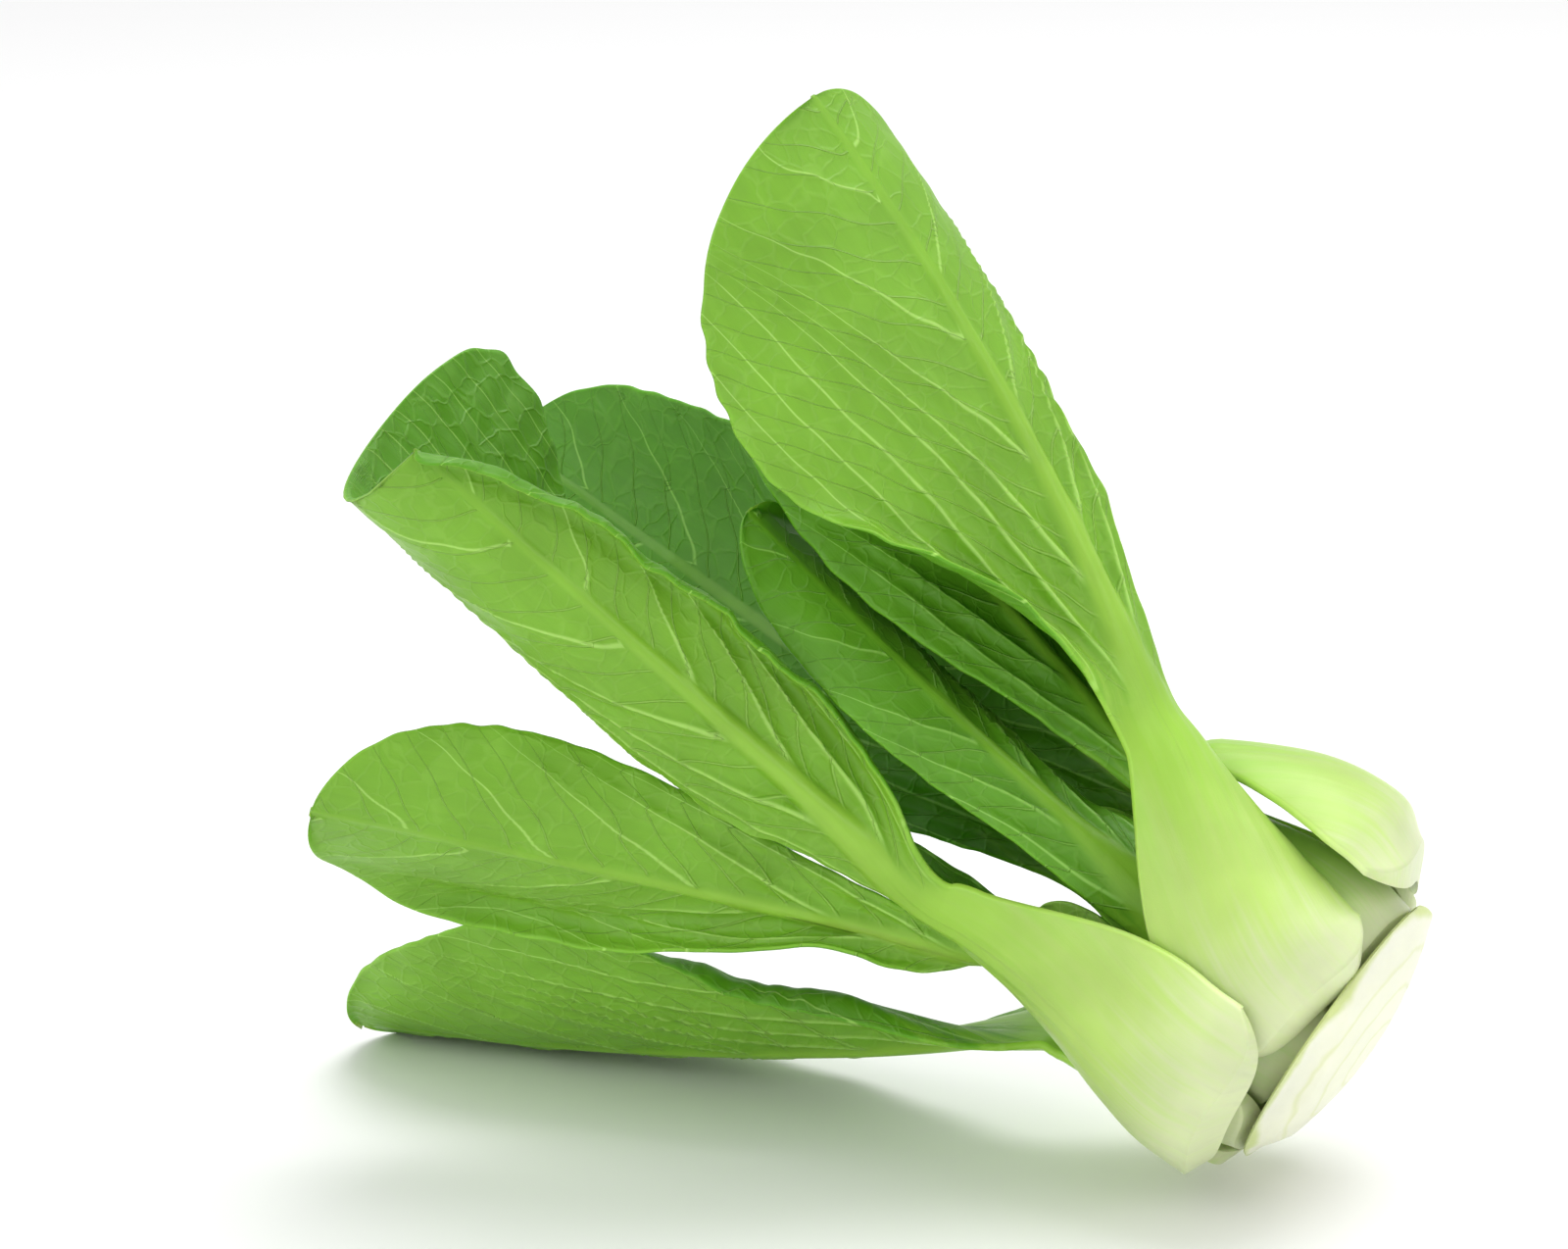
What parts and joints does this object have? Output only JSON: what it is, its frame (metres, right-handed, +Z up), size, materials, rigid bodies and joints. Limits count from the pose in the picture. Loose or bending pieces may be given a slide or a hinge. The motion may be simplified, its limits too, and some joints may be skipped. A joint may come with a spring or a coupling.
{
  "type": "head of bok choy",
  "caption": "Head of bok choy lying on its side: thick pale petioles round a trimmed base, and broad glossy green blades that fan out and cup.",
  "frame": {"origin": "on the surface that the head lies on, under the middle of its bounding box", "axes": "+Z up; +X along the head towards its cut base; -Y towards the near side, where the outermost leaf is"},
  "size_m": [0.211, 0.124, 0.1962],
  "materials": {
    "core_flesh": "moist cream-coloured plant flesh, cut smooth underneath",
    "outer_leaf": "waxy green blade with pale ribs, on a whitish green petiole",
    "inner_leaf": "waxy green blade, a little deeper in colour than the outer leaves",
    "heart_leaf": "small young leaf, light yellow-green"
  },
  "bodies": {
    "root": {"stem_core": "core_flesh", "leaf_01_near_side": "outer_leaf", "leaf_02_upper_back": "outer_leaf", "leaf_03_floor": "outer_leaf", "leaf_04_tall": "outer_leaf", "leaf_05_far_side": "outer_leaf", "leaf_06_near_floor": "outer_leaf", "leaf_07_upper": "inner_leaf", "leaf_08_far_inner": "inner_leaf", "leaf_09_near_inner": "inner_leaf", "leaf_10_upper_inner": "inner_leaf", "leaf_11_lower_inner": "inner_leaf", "leaf_12_heart_upper": "heart_leaf", "leaf_13_heart_far": "heart_leaf", "leaf_14_heart_near": "heart_leaf"}
  },
  "joints": []
}
